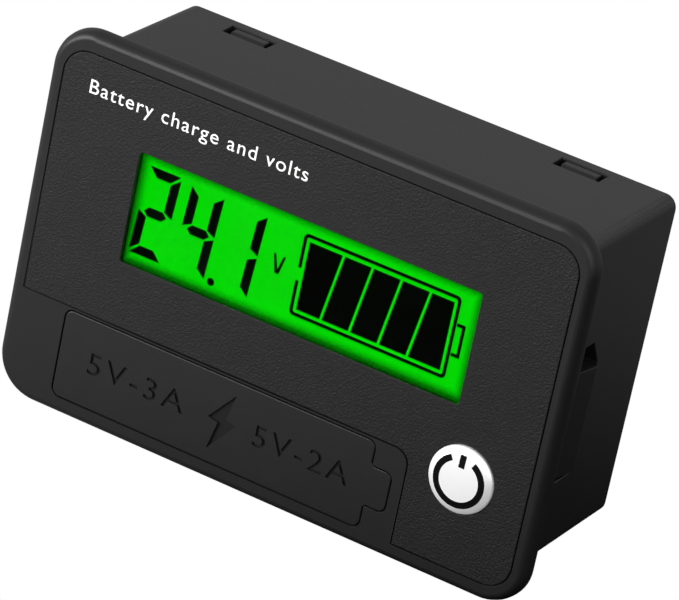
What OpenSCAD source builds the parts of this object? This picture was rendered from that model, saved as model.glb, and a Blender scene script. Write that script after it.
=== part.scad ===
// Panel-mounted battery voltage meter with a Type-C and a USB-A charging port.
// X runs to the right across the face, Y runs back into the panel and Z is up.
// The origin is the middle of the panel cut-out, in the plane that the flange seats on.

/* [Flange and body] */
// Width of the flange
flange_w = 72.4; // [71.6:0.2:76]
// Height of the flange
flange_h = 47.8; // [47.2:0.2:50]
// Thickness of the flange
flange_t = 2; // [1.9:0.1:2.4]
// Corner radius of the flange
flange_r = 5.5; // [4:0.1:6]
// How far the round edge of the flange reaches inwards
edge_in = 1.1; // [0.4:0.1:1.2]
// How far the round edge of the flange reaches back
edge_back = 1.6; // [0.5:0.1:1.7]
// Width of the body that passes through the panel
body_w = 66.8; // [66.6:0.1:67.4]
// Height of the body
body_h = 41.2; // [41:0.1:42]
// Depth of the body behind the flange
body_d = 23.7; // [23.6:0.1:25]
// Wall thickness of the body
wall = 1.8; // [1.7:0.05:1.9]
// How far the front wall reaches behind the flange
front_in = 0.4; // [0.3:0.05:0.5]

/* [Face label] */
// Thickness of the label film
label_t = 0.4; // [0.3:0.05:0.5]
// Half of the label's width
label_half = 34.2; // [33.8:0.1:34.6]
// Height of the label's top edge
label_top = 21.3; // [21:0.1:21.6]
// Height of the label's edge above the port cover
label_low = -9.8; // [-10:0.1:-9.6]
// Height of the label's foot beside the port cover
label_foot = -21.6; // [-21.8:0.1:-21.2]
// Where the foot starts
notch_x = 19; // [18.4:0.1:19.6]
// Corner radius of the label
label_r = 3.2; // [2:0.1:3.6]
// Groove left round the label
label_gap = 0.15; // [0.1:0.05:0.2]

/* [Display] */
// Middle of the display across the face
view_x = 0.5; // [0.3:0.1:0.7]
// Middle of the display in height
view_z = 5.1; // [5:0.1:5.3]
// Width of the viewing window
view_w = 45.8; // [44:0.2:46]
// Height of the viewing window
view_h = 14; // [13.6:0.2:14.4]
// Width of the display glass
glass_w = 50; // [49:0.2:50.4]
// Height of the display glass
glass_h = 17.6; // [17:0.2:17.8]
// Thickness of each glass plate
glass_t = 0.7; // [0.5:0.05:0.7]
// Height of a digit
digit_h = 11.2; // [10:0.1:11.6]
// Width of a digit
digit_w = 4.4; // [3.8:0.1:4.6]
// Width of a digit's segments
segment_w = 1.15; // [0.7:0.05:1.2]
// Distance from one digit to the next
digit_pitch = 5.9; // [5.4:0.1:6]
// Lean of the digits, as width over height
digit_lean = 0.065; // [0:0.005:0.1]

/* [Power button] */
// Middle of the button across the face
button_x = 25.8; // [25.4:0.1:26]
// Middle of the button in height
button_z = -10.4; // [-10.8:0.1:-10.2]
// Radius of the button
button_r = 4.15; // [3.8:0.05:4.3]
// How far the button stands proud of the face
button_proud = 0.75; // [0.6:0.05:1]
// Clearance round the button
button_gap = 0.12; // [0.1:0.02:0.16]

/* [Ports and cover] */
// Middle of both ports in height
port_z = -15.85; // [-15.9:0.05:-15.8]
// Middle of the Type-C port across the face
usb_c_x = -16.9; // [-17.4:0.1:-16.4]
// Middle of the USB-A port across the face
usb_a_x = 6; // [5.6:0.1:6.2]
// Thickness of the rubber cover
cover_t = 1.3; // [1.2:0.05:1.4]
// Left end of the cover
cover_x0 = -28; // [-28.4:0.1:-27.6]
// Right end of the cover, without its tab
cover_x1 = 14.5; // [14.2:0.1:14.8]
// Lower edge of the cover
cover_z0 = -21.5; // [-21.6:0.05:-21.4]
// Upper edge of the cover
cover_z1 = -10.35; // [-10.4:0.05:-10.3]
// Length of the pull tab
tab_l = 2.8; // [2.4:0.1:3]
// Height of the pull tab
tab_h = 5; // [4.6:0.1:5.4]

/* [Panel latches] */
// How far the crest of a latch stands proud of the body
latch_proud = 0.4; // [0.3:0.05:0.5]
// Distance from the flange to the crest
latch_crest_y = 10.5; // [10.2:0.1:10.6]
// Distance from the flange to the latch's root
latch_root_y = 20.4; // [20.2:0.1:20.6]

/* [Rear terminals] */
// Middle of the terminal block across the body
terminal_x = -12; // [-12.6:0.1:-11.4]
// Distance between the two wire entries
terminal_pitch = 5.08; // [5:0.04:5.08]
// Radius of a wire entry
wire_r = 1.3; // [1.1:0.05:1.3]

/* [Hidden] */
$fn = 48;
cut = 1;
front_y = -flange_t;
label_back = front_y + label_t;
in_w = body_w / 2 - wall;
in_h = body_h / 2 - wall;

// Layers of the display, from front to back
film_t = 0.15;
cell_gap = 0.1;
glass_front = label_back + 0.05 + film_t;
cell_front = glass_front + glass_t;
rear_glass_front = cell_front + cell_gap;
rear_film_front = rear_glass_front + glass_t;
guide_front = rear_film_front + film_t;
guide_t = 3;
reflector_t = 0.1;
ledge_h = 1;
glass_x0 = view_x - glass_w / 2;
glass_x1 = view_x + glass_w / 2;
glass_z0 = view_z - glass_h / 2;
glass_z1 = view_z + glass_h / 2;
rear_z0 = glass_z0 + ledge_h;
pin_count = 14;
pin_pitch = 2.54;
pin_w = 0.5;
pin_z = glass_z0 + 0.25;

// Printed circuit boards
board_y = 7;
board_t = 1.6;
board_half = 28.8;
board_back = board_y + board_t;
shelf_top = -11.3;
shelf_low = shelf_top - board_t;
shelf_x0 = -30.8;
shelf_x1 = 16.8;
shelf_y0 = 0.9;
shelf_y1 = 21.5;
boss_r = 1.8;
screw_r = 0.95;
boss_at = [[-24, 16.2], [24, 16.2], [-26.4, -7.2], [22.3, -16.6]];
header_x0 = -4.5;
header_y = 10.4;
header_count = 5;
header_w = 2.5;
header_pin = 0.6;

// Power button and its switch
button_front = front_y - button_proud;
symbol_r = 3.3;
symbol_w = 0.78;
symbol_t = 0.2;
switch_w = 6;
switch_front = 3.5;
plunger_front = 2;
plunger_r = 1.75;
plunger_gap = 0.05;

// Ports
shell_t = 0.3;
usb_a_w = 13.1;
usb_a_h = 5.7;
usb_a_l = 14.2;
usb_c_w = 8.94;
usb_c_h = 3.16;
usb_c_l = 9.1;
port_front = front_y + cover_t + 0.2;
recess_y = front_y + cover_t + 0.1;
cover_gap = 0.15;
hinge_r = 0.3;
hinge_x = cover_x0 + 1.3;
hinge_y = front_y + hinge_r;
tab_z = -15.9;
anchor_z0 = -18.2;
anchor_z1 = -13.4;
anchor_x = cover_x0 + 0.5;

// Rear of the body
rear_t = 1.8;
rear_in = body_d - rear_t;
rear_gap = 0.2;
hook_at = [-23.1, 21.95];
hook_w = 4.7;
hook_arm = 1.2;
slot_w = 6.1;
slot_y0 = 19.55;
slot_y1 = 22.1;

// Terminal block
block_w = 10.8;
block_y0 = 10.4;
block_y1 = body_d + 0.2;
block_z0 = shelf_top + 0.1;
block_z1 = block_z0 + 10;
wire_z = block_z0 + 2.7;
release_z = block_z1 - 2.8;
release_w = 2.6;
release_h = 2.2;
release_gap = 0.12;
pole_x = [terminal_x - terminal_pitch / 2, terminal_x + terminal_pitch / 2];

// Panel latches
latch_t = 1.2;
latch_gap = 0.15;
latch_z0 = -10.3;
latch_z1 = 3.3;
latch_tip_y = 3.2;
latch_out = in_w - latch_gap;
window_y0 = 2.4;
window_y1 = latch_crest_y + 0.55;
window_z0 = -10.7;
window_z1 = 6.6;

// ---- Shapes used by several pieces ----

// A flat outline in X and Z, made solid from y0 to y1
module plate(y0, y1) {
    translate([0, y1, 0]) rotate([90, 0, 0]) linear_extrude(y1 - y0) children();
}

// A flat outline in Y and Z, made solid from x0 to x1
module side_plate(x0, x1) {
    translate([x0, 0, 0]) rotate([90, 0, 90]) linear_extrude(x1 - x0) children();
}

// A flat outline in X and Y, made solid from z0 to z1
module flat_plate(z0, z1) {
    translate([0, 0, z0]) linear_extrude(z1 - z0) children();
}

// A rectangle between two corners, with round corners
module round_rect(x0, z0, x1, z1, r) {
    translate([x0 + r, z0]) square([x1 - x0 - 2 * r, z1 - z0]);
    translate([x0, z0 + r]) square([x1 - x0, z1 - z0 - 2 * r]);
    for (x = [x0 + r, x1 - r], z = [z0 + r, z1 - r]) translate([x, z]) circle(r);
}

// The same, round a middle point
module centred_rect(x, z, w, h, r) {
    round_rect(x - w / 2, z - h / 2, x + w / 2, z + h / 2, r);
}

// A round bar along Y
module rod(x, z, y0, y1, r) {
    translate([x, y0, z]) rotate([-90, 0, 0]) cylinder(h = y1 - y0, r = r);
}

// A box between two corners
module block(a, b) {
    translate(a) cube(b - a);
}

// A solid turned about the Y axis from a list of [radius, y] points
module turned(x, z, points) {
    translate([x, 0, z]) rotate([-90, 0, 0]) rotate_extrude() polygon(points);
}

// ---- Housing and rear ----

// The flange's edge in section, as [inset, y]: a quarter of an ellipse, then straight back to the seat
edge_points = concat(
    [for (k = [0:5]) [edge_in * (1 - sin(18 * k)), front_y + edge_back * (1 - cos(18 * k))]],
    [[0, 0]]);

// The same points in the opposite order
edge_back_points = [for (k = [len(edge_points) - 1:-1:0]) edge_points[k]];

module flange() {
    w = flange_w / 2;
    h = flange_h / 2;
    for (x = [-1, 1], z = [-1, 1])
        turned(x * (w - flange_r), z * (h - flange_r),
            concat([[0, front_y]], [for (p = edge_points) [flange_r - p[0], p[1]]], [[0, 0]]));
    side_plate(flange_r - w, w - flange_r)
        polygon(concat([for (p = edge_points) [p[1], h - p[0]]], [for (p = edge_back_points) [p[1], p[0] - h]]));
    flat_plate(flange_r - h, h - flange_r)
        polygon(concat([for (p = edge_points) [w - p[0], p[1]]], [for (p = edge_back_points) [p[0] - w, p[1]]]));
}

// The label's outline, larger by g on every side
module label_outline(g) {
    fillet = 2;
    round_rect(-label_half - g, label_low - g, label_half + g, label_top + g, label_r + g);
    translate([-label_half - g, label_low - g]) square([8, 8]);
    round_rect(notch_x + 4, label_foot - g, label_half + g, label_top, label_r + g);
    translate([notch_x - g, label_foot - g]) square([9, label_low - label_foot + 6]);
    difference() {
        translate([notch_x - g - fillet, label_low - g - fillet]) square(fillet + 0.5);
        translate([notch_x - g - fillet, label_low - g - fillet]) circle(fillet);
    }
}

// The port cover's outline, larger by g on every side
module cover_outline(g) {
    round_rect(cover_x0 - g, cover_z0 - g, cover_x1 + g, cover_z1 + g, 1 + g);
    round_rect(cover_x1 - 4, tab_z - tab_h / 2 - g, cover_x1 + tab_l + g, tab_z + tab_h / 2 + g, 0.9 + g);
}

// A side window with its upper rear corner cut off
module latch_window() {
    side_plate(in_w - cut, body_w / 2 + cut)
        polygon([[window_y0, window_z0], [window_y1, window_z0], [window_y1, window_z1 - 3],
            [window_y1 - 2.1, window_z1], [window_y0, window_z1]]);
}

module port_openings() {
    plate(recess_y - cut, front_in + cut) {
        centred_rect(usb_a_x, port_z, usb_a_w + 0.4, usb_a_h + 0.4, 0.8);
        centred_rect(usb_c_x, port_z, usb_c_w + 0.4, usb_c_h + 0.4, usb_c_h / 2 + 0.19);
        translate([anchor_x - 0.6, anchor_z0 - 0.15]) square([1.2, anchor_z1 - anchor_z0 + 0.3]);
    }
}

// Ledges that carry the power board at both ends
module board_rails() {
    ledge = shelf_low - 0.05;
    block([-in_w - 0.5, front_in - 0.1, ledge - 1], [shelf_x0 + 0.9, shelf_y1, ledge]);
    block([shelf_x1 - 1.2, 14, -in_h - 0.5], [shelf_x1 + 0.4, 20, ledge]);
}

module housing() {
    color([0.18, 0.18, 0.185]) difference() {
        union() {
            flange();
            difference() {
                plate(-0.5, body_d) centred_rect(0, 0, body_w, body_h, 1.6);
                plate(front_in, body_d + cut) centred_rect(0, 0, 2 * in_w, 2 * in_h, 0.8);
            }
            for (b = boss_at) rod(b[0], b[1], front_in - 0.1, board_y, boss_r);
            board_rails();
        }
        for (b = boss_at) rod(b[0], b[1], front_in + 0.6, board_y + cut, screw_r + 0.05);
        plate(front_y - cut, label_back) label_outline(label_gap);
        plate(front_y, front_in + cut) centred_rect(view_x, view_z, glass_w + 0.4, glass_h + 0.4, 0.3);
        rod(button_x, button_z, front_y - cut, front_in + cut, button_r + button_gap);
        plate(front_y - cut, recess_y) cover_outline(cover_gap);
        port_openings();
        for (x = hook_at)
            block([x - slot_w / 2, slot_y0, -body_h], [x + slot_w / 2, slot_y1, body_h]);
        latch_window();
        mirror([1, 0, 0]) latch_window();
    }
}

// A snap hook on the upper edge of the back cover
module hook(x) {
    top = in_h - rear_gap;
    nose = body_h / 2 - 0.1;
    side_plate(x - hook_w / 2, x + hook_w / 2)
        polygon([[18, top - hook_arm], [rear_in + 0.1, top - hook_arm], [rear_in + 0.1, top], [slot_y1 - 0.2, top],
            [slot_y1 - 0.2, nose], [slot_y0 + 1.1, nose], [slot_y0 + 0.2, nose - 0.9], [slot_y0 + 0.2, top], [18, top]]);
}

module back_cover() {
    color([0.16, 0.16, 0.165]) {
        difference() {
            plate(rear_in, body_d)
                centred_rect(0, 0, 2 * (in_w - rear_gap), 2 * (in_h - rear_gap), 0.6);
            block([terminal_x - block_w / 2 - rear_gap, rear_in - cut, block_z0 - rear_gap],
                [terminal_x + block_w / 2 + rear_gap, body_d + cut, block_z1 + rear_gap]);
        }
        for (x = hook_at) {
            hook(x);
            mirror([0, 0, 1]) hook(x);
        }
    }
}

module face_label() {
    color([0.22, 0.22, 0.22]) plate(front_y, label_back) difference() {
        label_outline(0);
        centred_rect(view_x, view_z, view_w, view_h, 0.4);
        translate([button_x, button_z]) circle(button_r + button_gap);
    }
}

// ---- Display ----

module display_window() {
    color([0.75, 0.95, 0.78, 0.4]) plate(front_y, label_back)
        centred_rect(view_x, view_z, view_w - 0.04, view_h - 0.04, 0.38);
}

module front_polariser() {
    color([0.4, 0.45, 0.42, 0.5]) plate(glass_front - film_t, glass_front)
        round_rect(glass_x0 + 0.6, rear_z0, glass_x1 - 0.6, glass_z1 - 0.5, 0.2);
}

module lcd_front_glass() {
    color([0.8, 0.95, 0.88, 0.4]) plate(glass_front, cell_front)
        round_rect(glass_x0, glass_z0, glass_x1, glass_z1, 0.2);
}

// A point of a digit, leaned over to the right
function lean(p) = [p[0] + digit_lean * p[1], p[1]];

// The seven bars of a digit, from the top clockwise and then the middle
function bar_points(k) =
    let (w = digit_w / 2, h = digit_h / 2, t = segment_w, g = 0.12)
    k == 0 ? [[g - w, h], [w - g, h], [w - t - g, h - t], [t + g - w, h - t]]
    : k == 1 ? [[w, h - 0.4], [w, 0.15], [w - t, t / 2 + 0.15], [w - t, h - t - 0.2]]
    : k == 2 ? [[w, -0.15], [w, 0.4 - h], [w - t, t + 0.2 - h], [w - t, -t / 2 - 0.15]]
    : k == 3 ? [[g - w, -h], [w - g, -h], [w - t - g, t - h], [t + g - w, t - h]]
    : k == 4 ? [[-w, -0.15], [-w, 0.4 - h], [t - w, t + 0.2 - h], [t - w, -t / 2 - 0.15]]
    : k == 5 ? [[-w, h - 0.4], [-w, 0.15], [t - w, t / 2 + 0.15], [t - w, h - t - 0.2]]
    : [[0.7 - w, 0], [t - w + 0.1, t / 2], [w - t - 0.1, t / 2], [w - 0.7, 0],
        [w - t - 0.1, -t / 2], [t - w + 0.1, -t / 2]];

digit_z = view_z - 0.3;
module digit(x, bars) {
    translate([x, digit_z]) for (k = bars) polygon([for (p = bar_points(k)) lean(p)]);
}

// A battery outline with a gap in its left side, five leaning cells and a terminal at its right
module battery_sign() {
    x0 = -0.3;
    x1 = 20.5;
    z0 = -0.2;
    z1 = 10.1;
    line = 0.4;
    cell_pitch = 3.84;
    cell_lean = 1.55;
    cell_split = 0.36;
    difference() {
        round_rect(x0, z0, x1, z1, 0.6);
        round_rect(x0 + line, z0 + line, x1 - line, z1 - line, 0.3);
        translate([x0 - cut, view_z - 1]) square([2, 1.65]);
    }
    difference() {
        translate([x0 + 0.85, z0 + 0.85]) square([x1 - x0 - 1.65, z1 - z0 - 1.75]);
        for (k = [1:4]) {
            x = x0 + 0.85 + k * cell_pitch;
            polygon([[x - 0.9, z0], [x - 0.9 + cell_split, z0],
                [x - 0.9 + cell_split + cell_lean, z1], [x - 0.9 + cell_lean, z1]]);
        }
    }
    difference() {
        translate([x1 + 0.1, view_z - 2.25]) square([1.1, 4.1]);
        translate([x1, view_z - 2.25 + line]) square([1.2 - line, 4.1 - 2 * line]);
    }
}

module volt_sign() {
    for (s = [-1, 1])
        translate([-2.85, 3.9]) polygon([[0, 0], [s * 0.26, 0], [s * 0.8, 2.3], [s * 0.52, 2.3], [0, 0.5]]);
}

module lcd_segments() {
    first = view_x - 20.15;
    color([0.02, 0.05, 0.02]) plate(cell_front + 0.01, rear_glass_front - 0.01) {
        digit(first, [0, 1, 6, 4, 3]);
        digit(first + digit_pitch, [5, 6, 1, 2]);
        digit(first + 2 * digit_pitch, [1, 2]);
        translate([first + 1.5 * digit_pitch - 0.1, digit_z - digit_h / 2 + 0.4]) circle(0.47);
        volt_sign();
        battery_sign();
    }
}

module lcd_seal() {
    color([0.5, 0.5, 0.45]) plate(cell_front, rear_glass_front) difference() {
        round_rect(glass_x0, rear_z0, glass_x1, glass_z1, 0.2);
        round_rect(glass_x0 + 1, rear_z0 + 1, glass_x1 - 1, glass_z1 - 1, 0.5);
    }
}

module lcd_rear_glass() {
    color([0.8, 0.95, 0.88, 0.4]) plate(rear_glass_front, rear_film_front)
        round_rect(glass_x0, rear_z0, glass_x1, glass_z1, 0.2);
}

module rear_polariser() {
    color([0.4, 0.45, 0.42, 0.5]) plate(rear_film_front, guide_front)
        round_rect(glass_x0 + 0.6, rear_z0 + 0.2, glass_x1 - 0.6, glass_z1 - 0.5, 0.2);
}

module light_guide() {
    color([0.2, 0.9, 0.3]) plate(guide_front, guide_front + guide_t)
        round_rect(glass_x0 + 1.4, rear_z0, glass_x1 - 1.4, glass_z1 - 0.6, 0.4);
}

module reflector_film() {
    color("white") plate(guide_front + guide_t, guide_front + guide_t + reflector_t)
        round_rect(glass_x0 + 1.4, rear_z0, glass_x1 - 1.4, glass_z1 - 0.6, 0.4);
}

// One side-looking lamp against each end of the light guide
module backlight_leds() {
    color([0.9, 0.95, 0.8]) for (s = [-1, 1]) {
        x = view_x + s * (glass_w / 2 - 0.7);
        block([x - 0.6, guide_front + 0.3, view_z - 1.5], [x + 0.6, guide_front + 2.4, view_z + 1.5]);
    }
}

// A frame that stands on the board and carries the display
module display_holder() {
    color([0.85, 0.85, 0.82]) plate(guide_front + guide_t + reflector_t, board_y) difference() {
        round_rect(glass_x0 + 0.2, rear_z0, glass_x1 - 0.2, glass_z1 - 0.2, 0.4);
        round_rect(glass_x0 + 1.8, rear_z0 + 1.6, glass_x1 - 1.8, glass_z1 - 1.8, 0.4);
    }
}

function pin_x(k) = view_x + (k - (pin_count - 1) / 2) * pin_pitch;

module lcd_pins() {
    color("silver") for (k = [0:pin_count - 1])
        block([pin_x(k) - pin_w / 2, cell_front, pin_z], [pin_x(k) + pin_w / 2, board_back + 0.8, pin_z + pin_w]);
}

// ---- Boards and what they carry ----

module main_board() {
    color([0.05, 0.35, 0.2]) difference() {
        plate(board_y, board_back) {
            round_rect(-board_half, -9.4, board_half, 18.3, 0.6);
            round_rect(20, -18.6, board_half, -5, 0.6);
        }
        for (b = boss_at) rod(b[0], b[1], board_y - cut, board_back + cut, screw_r + 0.2);
        for (k = [0:pin_count - 1])
            block([pin_x(k) - pin_w / 2 - 0.1, board_y - cut, pin_z - 0.1],
                [pin_x(k) + pin_w / 2 + 0.1, board_back + cut, pin_z + pin_w + 0.1]);
        for (k = [0:header_count - 1])
            block([header_x(k) - 0.4, board_y - cut, -7.9], [header_x(k) + 0.4, board_back + cut, -7.1]);
    }
}

module meter_chip() {
    color([0.1, 0.1, 0.1]) block([-3.5, board_back + 0.1, 4], [3.5, board_back + 1.5, 11]);
    color("silver") for (s = [-1, 1], k = [0:6])
        block([s * 4 - 0.6, board_back, 4.6 + k * 0.9], [s * 4 + 0.6, board_back + 0.4, 4.9 + k * 0.9]);
}

module board_resistors() {
    color([0.15, 0.15, 0.16]) for (k = [0:5])
        block([8 + 2.4 * k, board_back, 6], [8.8 + 2.4 * k, board_back + 0.5, 7.6]);
}

module board_screws() {
    color("silver") for (b = boss_at) difference() {
        union() {
            rod(b[0], b[1], front_in + 1, board_back + 0.1, screw_r);
            rod(b[0], b[1], board_back, board_back + 1.2, 1.75);
        }
        for (a = [0, 90]) translate([b[0], board_back + 1.2, b[1]]) rotate([0, a, 0])
            cube([2.2, 1, 0.45], center = true);
    }
}

module tact_switch() {
    color([0.12, 0.12, 0.12]) difference() {
        plate(switch_front, board_y) centred_rect(button_x, button_z, switch_w, switch_w, 0.5);
        rod(button_x, button_z, switch_front - cut, switch_front + 2.2, plunger_r + 0.05);
    }
}

module switch_plunger() {
    color([0.85, 0.85, 0.8]) rod(button_x, button_z, plunger_front, switch_front + 1.4, plunger_r);
}

// ---- Power button ----

// The outline of the cap, as [radius, y] points from its domed front to its stem
function cap_points() =
    let (dome_r = 3.35, dome_h = 0.12, steps = 6)
    concat(
        [for (k = [0:steps]) [dome_r * k / steps, button_front + dome_h * pow(k / steps, 2)]],
        [[button_r - 0.05, front_y - 0.2], [button_r, front_y - 0.1], [button_r, front_in + 0.2],
            [button_r + 0.75, front_in + 0.2], [button_r + 0.75, front_in + 0.8], [1.4, front_in + 0.8],
            [1.4, plunger_front - plunger_gap], [0, plunger_front - plunger_gap]]);

// The power sign: a ring open at the top, and a bar in the opening
module power_sign() {
    open_angle = 29;
    translate([button_x, button_z]) {
        difference() {
            circle(symbol_r);
            circle(symbol_r - symbol_w);
            polygon([[0, 0], [5 * sin(open_angle), 5 * cos(open_angle)], [-5 * sin(open_angle), 5 * cos(open_angle)]]);
        }
        translate([-symbol_w / 2, symbol_r - 1.6]) square([symbol_w, 1.6]);
    }
}

module power_button() {
    color([0.9, 0.9, 0.91]) difference() {
        turned(button_x, button_z, cap_points());
        plate(button_front - cut, button_front + symbol_t) power_sign();
    }
}

module button_symbol() {
    color([0.03, 0.03, 0.03]) intersection() {
        turned(button_x, button_z, cap_points());
        plate(button_front - cut, button_front + symbol_t) power_sign();
    }
}

// ---- Ports and their cover ----

module usb_cover() {
    color([0.16, 0.16, 0.16]) {
        intersection() {
            plate(front_y, front_y + cover_t) cover_outline(0);
            union() {
                translate([hinge_x, hinge_y, cover_z0 - cut]) cylinder(h = cover_z1 - cover_z0 + 2 * cut, r = hinge_r);
                block([hinge_x - hinge_r, hinge_y, cover_z0 - cut], [hinge_x + 1, front_y + 3, cover_z1 + cut]);
                block([hinge_x, front_y - cut, cover_z0 - cut], [cover_x1 + tab_l + cut, front_y + 3, cover_z1 + cut]);
            }
        }
        plate(front_y + cover_t - 0.2, port_front + 1.1) {
            centred_rect(usb_a_x, port_z, 11.4, 4, 0.6);
            centred_rect(usb_c_x, port_z, 7.4, 1.9, 0.94);
        }
    }
}

// The cover's fixed end strip, and the barbed foot that holds it behind the wall
module cover_anchor() {
    strip_x = hinge_x - hinge_r - 0.05;
    color([0.16, 0.16, 0.16]) {
        intersection() {
            plate(front_y, front_y + cover_t) cover_outline(0);
            flat_plate(cover_z0 - cut, cover_z1 + cut)
                polygon([[cover_x0 - cut, front_y - cut], [strip_x - 0.25, front_y - cut], [strip_x - 0.25, front_y],
                    [strip_x, hinge_y + 0.1], [strip_x, front_y + 3], [cover_x0 - cut, front_y + 3]]);
        }
        block([anchor_x - 0.4, front_y + cover_t - 0.1, anchor_z0], [anchor_x + 0.4, front_in + 0.2, anchor_z1]);
        block([anchor_x - 1.3, front_in + 0.05, anchor_z0 - 0.4], [anchor_x + 1.3, front_in + 1, anchor_z1 + 0.4]);
    }
}

module usb_a_shell() {
    color("silver") {
        plate(port_front, port_front + usb_a_l) difference() {
            centred_rect(usb_a_x, port_z, usb_a_w, usb_a_h, 0.6);
            centred_rect(usb_a_x, port_z, usb_a_w - 2 * shell_t, usb_a_h - 2 * shell_t, 0.3);
        }
        plate(port_front + usb_a_l - 0.3, port_front + usb_a_l)
            centred_rect(usb_a_x, port_z, usb_a_w - shell_t, usb_a_h - shell_t, 0.4);
    }
}

tongue_z = port_z + 1.05;
module usb_a_tongue() {
    color([0.92, 0.92, 0.9]) {
        plate(port_front + 2, port_front + 10) centred_rect(usb_a_x, tongue_z, 11.1, 1.84, 0.2);
        plate(port_front + 10, port_front + usb_a_l - 0.35) centred_rect(usb_a_x, port_z, 12.4, 5, 0.25);
    }
}

module usb_a_contacts() {
    color("gold") for (x = [-3.5, -1, 1, 3.5])
        block([usb_a_x + x - 0.5, port_front + 3, tongue_z - 1.12], [usb_a_x + x + 0.5, port_front + 10, tongue_z - 0.92]);
}

module usb_c_shell() {
    color("silver") {
        plate(port_front, port_front + usb_c_l) difference() {
            centred_rect(usb_c_x, port_z, usb_c_w, usb_c_h, usb_c_h / 2 - 0.01);
            centred_rect(usb_c_x, port_z, usb_c_w - 2 * shell_t, usb_c_h - 2 * shell_t, usb_c_h / 2 - shell_t - 0.01);
        }
        plate(port_front + usb_c_l - 0.3, port_front + usb_c_l)
            centred_rect(usb_c_x, port_z, usb_c_w - shell_t, usb_c_h - shell_t, usb_c_h / 2 - 0.2);
        for (s = [-1, 1], y = [2, 7])
            block([usb_c_x + s * 2.8 - 0.5, y, port_z + usb_c_h / 2 - 0.2], [usb_c_x + s * 2.8 + 0.5, y + 0.9, shelf_low]);
    }
}

module usb_c_tongue() {
    color([0.1, 0.1, 0.1]) {
        plate(port_front + 1.5, port_front + 5.6) centred_rect(usb_c_x, port_z, 6.69, 0.7, 0.3);
        plate(port_front + 5.6, port_front + usb_c_l - 0.35) centred_rect(usb_c_x, port_z, 8.2, 2.46, 1.22);
    }
}

module usb_c_contacts() {
    color("gold") for (s = [-1, 1], k = [0:11])
        block([usb_c_x + (k - 5.5) * 0.5 - 0.13, port_front + 2, port_z + s * 0.4 - 0.05],
            [usb_c_x + (k - 5.5) * 0.5 + 0.13, port_front + 5.6, port_z + s * 0.4 + 0.05]);
}

module power_board() {
    color([0.05, 0.35, 0.2]) difference() {
        block([shelf_x0, shelf_y0, shelf_low], [shelf_x1, shelf_y1, shelf_top]);
        for (k = [0:header_count - 1])
            block([header_x(k) - 0.4, header_y - 0.4, shelf_low - cut], [header_x(k) + 0.4, header_y + 0.4, shelf_top + cut]);
        for (x = pole_x)
            block([x - 0.6, 13.4, shelf_low - cut], [x + 0.6, 14.6, shelf_top + cut]);
    }
}

function header_x(k) = header_x0 + k * pin_pitch;

module board_header() {
    color([0.1, 0.1, 0.1]) difference() {
        block([header_x0 - header_w / 2, header_y - header_w / 2, shelf_top],
            [header_x(header_count - 1) + header_w / 2, header_y + header_w / 2, shelf_top + header_w]);
        for (k = [0:header_count - 1])
            block([header_x(k) - 0.35, header_y - 0.35, shelf_top - cut],
                [header_x(k) + 0.35, header_y + 0.35, shelf_top + header_w + cut]);
    }
}

// Square pins that stand in the power board, cut flush under it, and bend into the main board
module header_pins() {
    p = header_pin / 2;
    color("gold") for (k = [0:header_count - 1]) {
        block([header_x(k) - p, header_y - p, shelf_low + 0.05], [header_x(k) + p, header_y + p, -7.5 + p]);
        block([header_x(k) - p, board_y - 0.6, -7.5 - p], [header_x(k) + p, header_y + p, -7.5 + p]);
    }
}

coil = [0.8, 16.6];
module inductor_core() {
    color([0.25, 0.25, 0.27]) translate([coil[0], coil[1], shelf_top])
        rotate_extrude() polygon([[0, 0], [4.2, 0], [4.2, 1], [2, 1], [2, 4], [4.2, 4], [4.2, 5], [0, 5]]);
}

module inductor_winding() {
    color([0.72, 0.4, 0.2]) translate([coil[0], coil[1], shelf_top])
        rotate_extrude() translate([2.05, 1.05]) square([1.6, 2.9]);
}

module capacitors() {
    color([0.7, 0.7, 0.74]) for (p = [[-23.6, 14.2], [11, 15.5]])
        translate([p[0], p[1], shelf_top])
            rotate_extrude() polygon([[0, 0], [3.9, 0], [3.9, 0.8], [3.6, 1.2], [3.9, 1.6], [3.9, 9.6], [3.6, 10], [0, 10]]);
}

module converter_chips() {
    for (y = [4.8, 10.6]) {
        color([0.1, 0.1, 0.1]) block([-9, y - 2.5, shelf_low - 1.6], [-5, y + 2.5, shelf_low - 0.1]);
        color("silver") for (s = [-1, 1], k = [0:3])
            block([-7 + s * 2.4 - 0.6, y - 2.1 + k * 1.27, shelf_low - 0.4], [-7 + s * 2.4 + 0.6, y - 1.7 + k * 1.27, shelf_low]);
    }
}

module input_diode() {
    color([0.1, 0.1, 0.1]) block([-27.6, 18.6, shelf_top + 0.1], [-23.2, 21.1, shelf_top + 2.2]);
    color("silver") for (x = [-28.2, -23.6]) block([x, 19.2, shelf_top], [x + 1, 20.5, shelf_top + 0.3]);
}

// ---- Rear terminals ----

cavity_y0 = block_y0 + 1.2;
cavity_y1 = block_y1 - 4.4;
cavity_z0 = block_z0 + 0.8;
module terminal_block() {
    color([0.1, 0.4, 0.2]) difference() {
        block([terminal_x - block_w / 2, block_y0, block_z0], [terminal_x + block_w / 2, block_y1, block_z1]);
        for (x = pole_x) {
            rod(x, wire_z, cavity_y1 - cut, block_y1 + cut, wire_r);
            block([x - 1.9, cavity_y0, cavity_z0], [x + 1.9, cavity_y1, block_z1 - 0.9]);
            block([x - release_w / 2 - release_gap, cavity_y1 - cut, release_z - release_h / 2 - release_gap],
                [x + release_w / 2 + release_gap, block_y1 + cut, release_z + release_h / 2 + release_gap]);
            block([x - 0.6, 13.4, block_z0 - cut], [x + 0.6, 14.6, cavity_z0 + cut]);
        }
    }
}

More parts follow.
